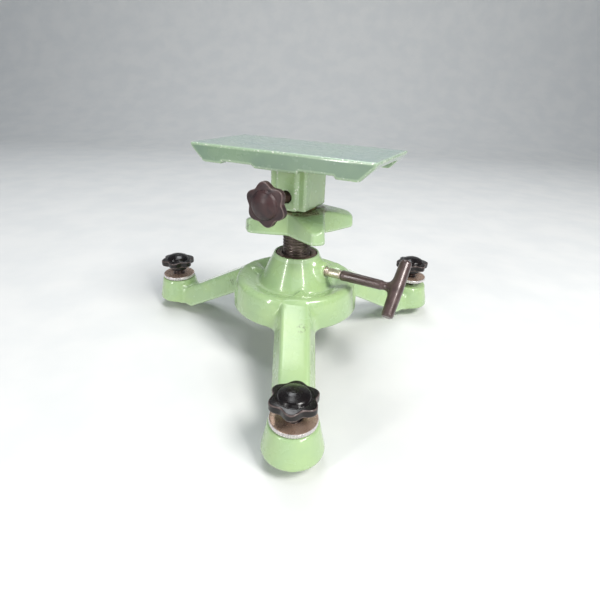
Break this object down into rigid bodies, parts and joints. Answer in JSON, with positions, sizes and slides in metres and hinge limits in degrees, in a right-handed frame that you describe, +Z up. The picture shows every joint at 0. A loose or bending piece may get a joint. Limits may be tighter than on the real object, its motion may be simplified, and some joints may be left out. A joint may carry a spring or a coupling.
{
  "type": "tripod pedestal rest",
  "caption": "Cast tripod pedestal in glossy light green enamel, with levelling screws, a lobed elevation handwheel and a flat head plate on a swivelling post.",
  "frame": {"origin": "on the floor under the centre of the bounding box", "axes": "+Z up, +X along the line between the two rear feet, -Y towards the single front foot"},
  "size_m": [0.268, 0.2373, 0.1634],
  "materials": {
    "enamel": "gloss",
    "dark_steel": "dark oxidised",
    "bright_steel": "worn",
    "nut_steel": "knurled rim",
    "black_plastic": "gloss",
    "handle_finish": "semi-gloss",
    "brass": "plain"
  },
  "bodies": {
    "base": {"base_casting": "enamel", "hub_bush": "dark_steel"},
    "lift": {"thrust_washer": "brass"},
    "wheel": {"elevation_screw": "dark_steel", "elevation_wheel": "enamel", "wheel_grub_screw": "dark_steel", "stop_washer": "dark_steel", "stop_screw": "dark_steel"},
    "head": {"head_casting": "enamel"},
    "clamp_shoe": {"clamp_plug": "brass"},
    "clamp_handle": {"clamp_screw": "dark_steel", "clamp_knob": "black_plastic"},
    "lock_shoe": {"lock_plug": "brass"},
    "lock_handle": {"lock_screw": "bright_steel", "t_handle": "handle_finish"},
    "levelling_screw_front": {"levelling_screw_front": "dark_steel"},
    "levelling_knob_front": {"levelling_knob_front": "black_plastic"},
    "lock_nut_front": {"lock_nut_front": "nut_steel"},
    "levelling_screw_right": {"levelling_screw_right": "dark_steel"},
    "levelling_knob_right": {"levelling_knob_right": "black_plastic"},
    "lock_nut_right": {"lock_nut_right": "nut_steel"},
    "levelling_screw_left": {"levelling_screw_left": "dark_steel"},
    "levelling_knob_left": {"levelling_knob_left": "black_plastic"},
    "lock_nut_left": {"lock_nut_left": "nut_steel"}
  },
  "joints": [
    {"name": "elevation", "type": "slide", "parent": "base", "child": "lift", "axis": [0, 0, 1], "range_m": [-0.0165, 0.0165]},
    {"name": "wheel_turn", "type": "hinge", "parent": "lift", "child": "wheel", "pos_m": [0, 0.03313, 0.11], "axis": [0, 0, 1], "range_deg": [-2560, 2560]},
    {"name": "head_swivel", "type": "hinge", "parent": "lift", "child": "head", "pos_m": [0, 0.03313, 0.131], "axis": [0, 0, 1], "continuous": true},
    {"name": "clamp_feed", "type": "slide", "parent": "head", "child": "clamp_shoe", "axis": [-0.4695, -0.8829, 0], "range_m": [0, 0.003]},
    {"name": "clamp_turn", "type": "hinge", "parent": "clamp_shoe", "child": "clamp_handle", "pos_m": [-0.01878, -0.00219, 0.131], "axis": [-0.4695, -0.8829, 0], "range_deg": [0, 766]},
    {"name": "lock_feed", "type": "slide", "parent": "base", "child": "lock_shoe", "axis": [0.8686, -0.4955, 0], "range_m": [0, 0.004]},
    {"name": "lock_turn", "type": "hinge", "parent": "lock_shoe", "child": "lock_handle", "pos_m": [0.05212, 0.0034, 0.0729], "axis": [0.8686, -0.4955, 0], "range_deg": [0, 1130]},
    {"name": "level_feed_front", "type": "slide", "parent": "base", "child": "levelling_screw_front", "axis": [0, 0, 1], "range_m": [-0.003, 0.008]},
    {"name": "level_turn_front", "type": "hinge", "parent": "levelling_screw_front", "child": "levelling_knob_front", "pos_m": [0, -0.09938, 0.045], "axis": [0, 0, 1], "range_deg": [-682, 1816]},
    {"name": "nut_travel_front", "type": "slide", "parent": "base", "child": "lock_nut_front", "axis": [0, 0, 1], "range_m": [0, 0.003]},
    {"name": "level_feed_right", "type": "slide", "parent": "base", "child": "levelling_screw_right", "axis": [0, 0, 1], "range_m": [-0.003, 0.008]},
    {"name": "level_turn_right", "type": "hinge", "parent": "levelling_screw_right", "child": "levelling_knob_right", "pos_m": [0.11475, 0.09938, 0.045], "axis": [0, 0, 1], "range_deg": [-682, 1816]},
    {"name": "nut_travel_right", "type": "slide", "parent": "base", "child": "lock_nut_right", "axis": [0, 0, 1], "range_m": [-0.0044, 0.003]},
    {"name": "level_feed_left", "type": "slide", "parent": "base", "child": "levelling_screw_left", "axis": [0, 0, 1], "range_m": [-0.003, 0.008]},
    {"name": "level_turn_left", "type": "hinge", "parent": "levelling_screw_left", "child": "levelling_knob_left", "pos_m": [-0.11475, 0.09938, 0.045], "axis": [0, 0, 1], "range_deg": [-682, 1816]},
    {"name": "nut_travel_left", "type": "slide", "parent": "base", "child": "lock_nut_left", "axis": [0, 0, 1], "range_m": [0, 0.003]}
  ],
  "couplings": [
    {"joint": "elevation", "follows": "wheel_turn", "m_per_rad": 0.0003676},
    {"joint": "clamp_turn", "follows": "clamp_feed", "rad_per_m": 4452.6},
    {"joint": "lock_feed", "follows": "lock_turn", "m_per_rad": 0.0002021},
    {"joint": "level_turn_front", "follows": "level_feed_front", "rad_per_m": 3957.9},
    {"joint": "level_turn_right", "follows": "level_feed_right", "rad_per_m": 3957.9},
    {"joint": "level_turn_left", "follows": "level_feed_left", "rad_per_m": 3957.9}
  ]
}
